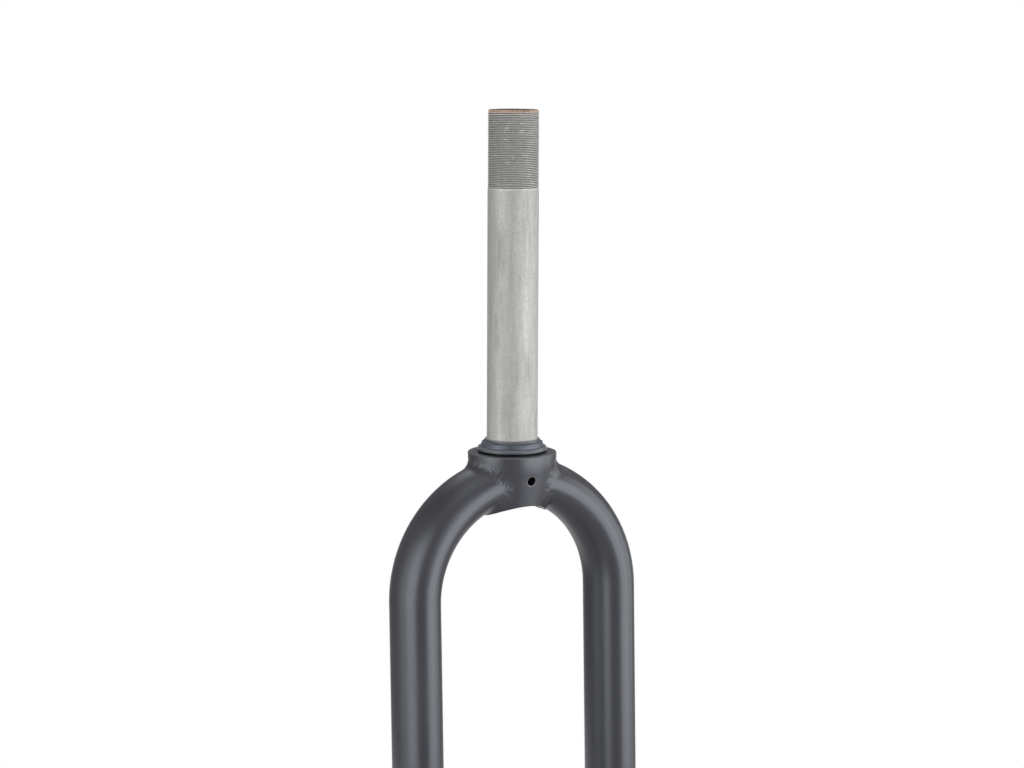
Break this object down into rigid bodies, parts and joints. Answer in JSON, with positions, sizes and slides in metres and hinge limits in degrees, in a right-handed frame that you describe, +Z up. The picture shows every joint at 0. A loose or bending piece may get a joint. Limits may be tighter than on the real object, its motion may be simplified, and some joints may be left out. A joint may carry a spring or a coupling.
{
  "type": "rigid bicycle fork",
  "caption": "Rigid steel bicycle fork: threaded steerer with lower race, welded crown with a mudguard bolt hole, bent oval legs and slotted dropouts for the front wheel's axle.",
  "frame": {"origin": "on the steerer's axis at the crown's top face, where the lower headset race sits", "axes": "+Z up along the steerer, -Y forward in the direction of travel, +X to the rider's left"},
  "size_m": [0.1532, 0.0779, 0.5995],
  "materials": {
    "bare_steel": "bare drawn steel, lightly oiled, with a trace of rust at the rim",
    "race_steel": "blackened satin steel",
    "seal_rubber": "satin moulded rubber",
    "frame_paint": "matte charcoal powder coat"
  },
  "bodies": {
    "root": {"steerer_tube": "bare_steel", "crown_race": "race_steel", "race_seal": "seal_rubber", "crown": "frame_paint", "left_leg": "frame_paint", "right_leg": "frame_paint", "left_crown_weld": "frame_paint", "right_crown_weld": "frame_paint", "left_dropout": "frame_paint", "right_dropout": "frame_paint", "left_dropout_weld": "frame_paint", "right_dropout_weld": "frame_paint", "steerer_weld": "frame_paint"}
  },
  "joints": []
}
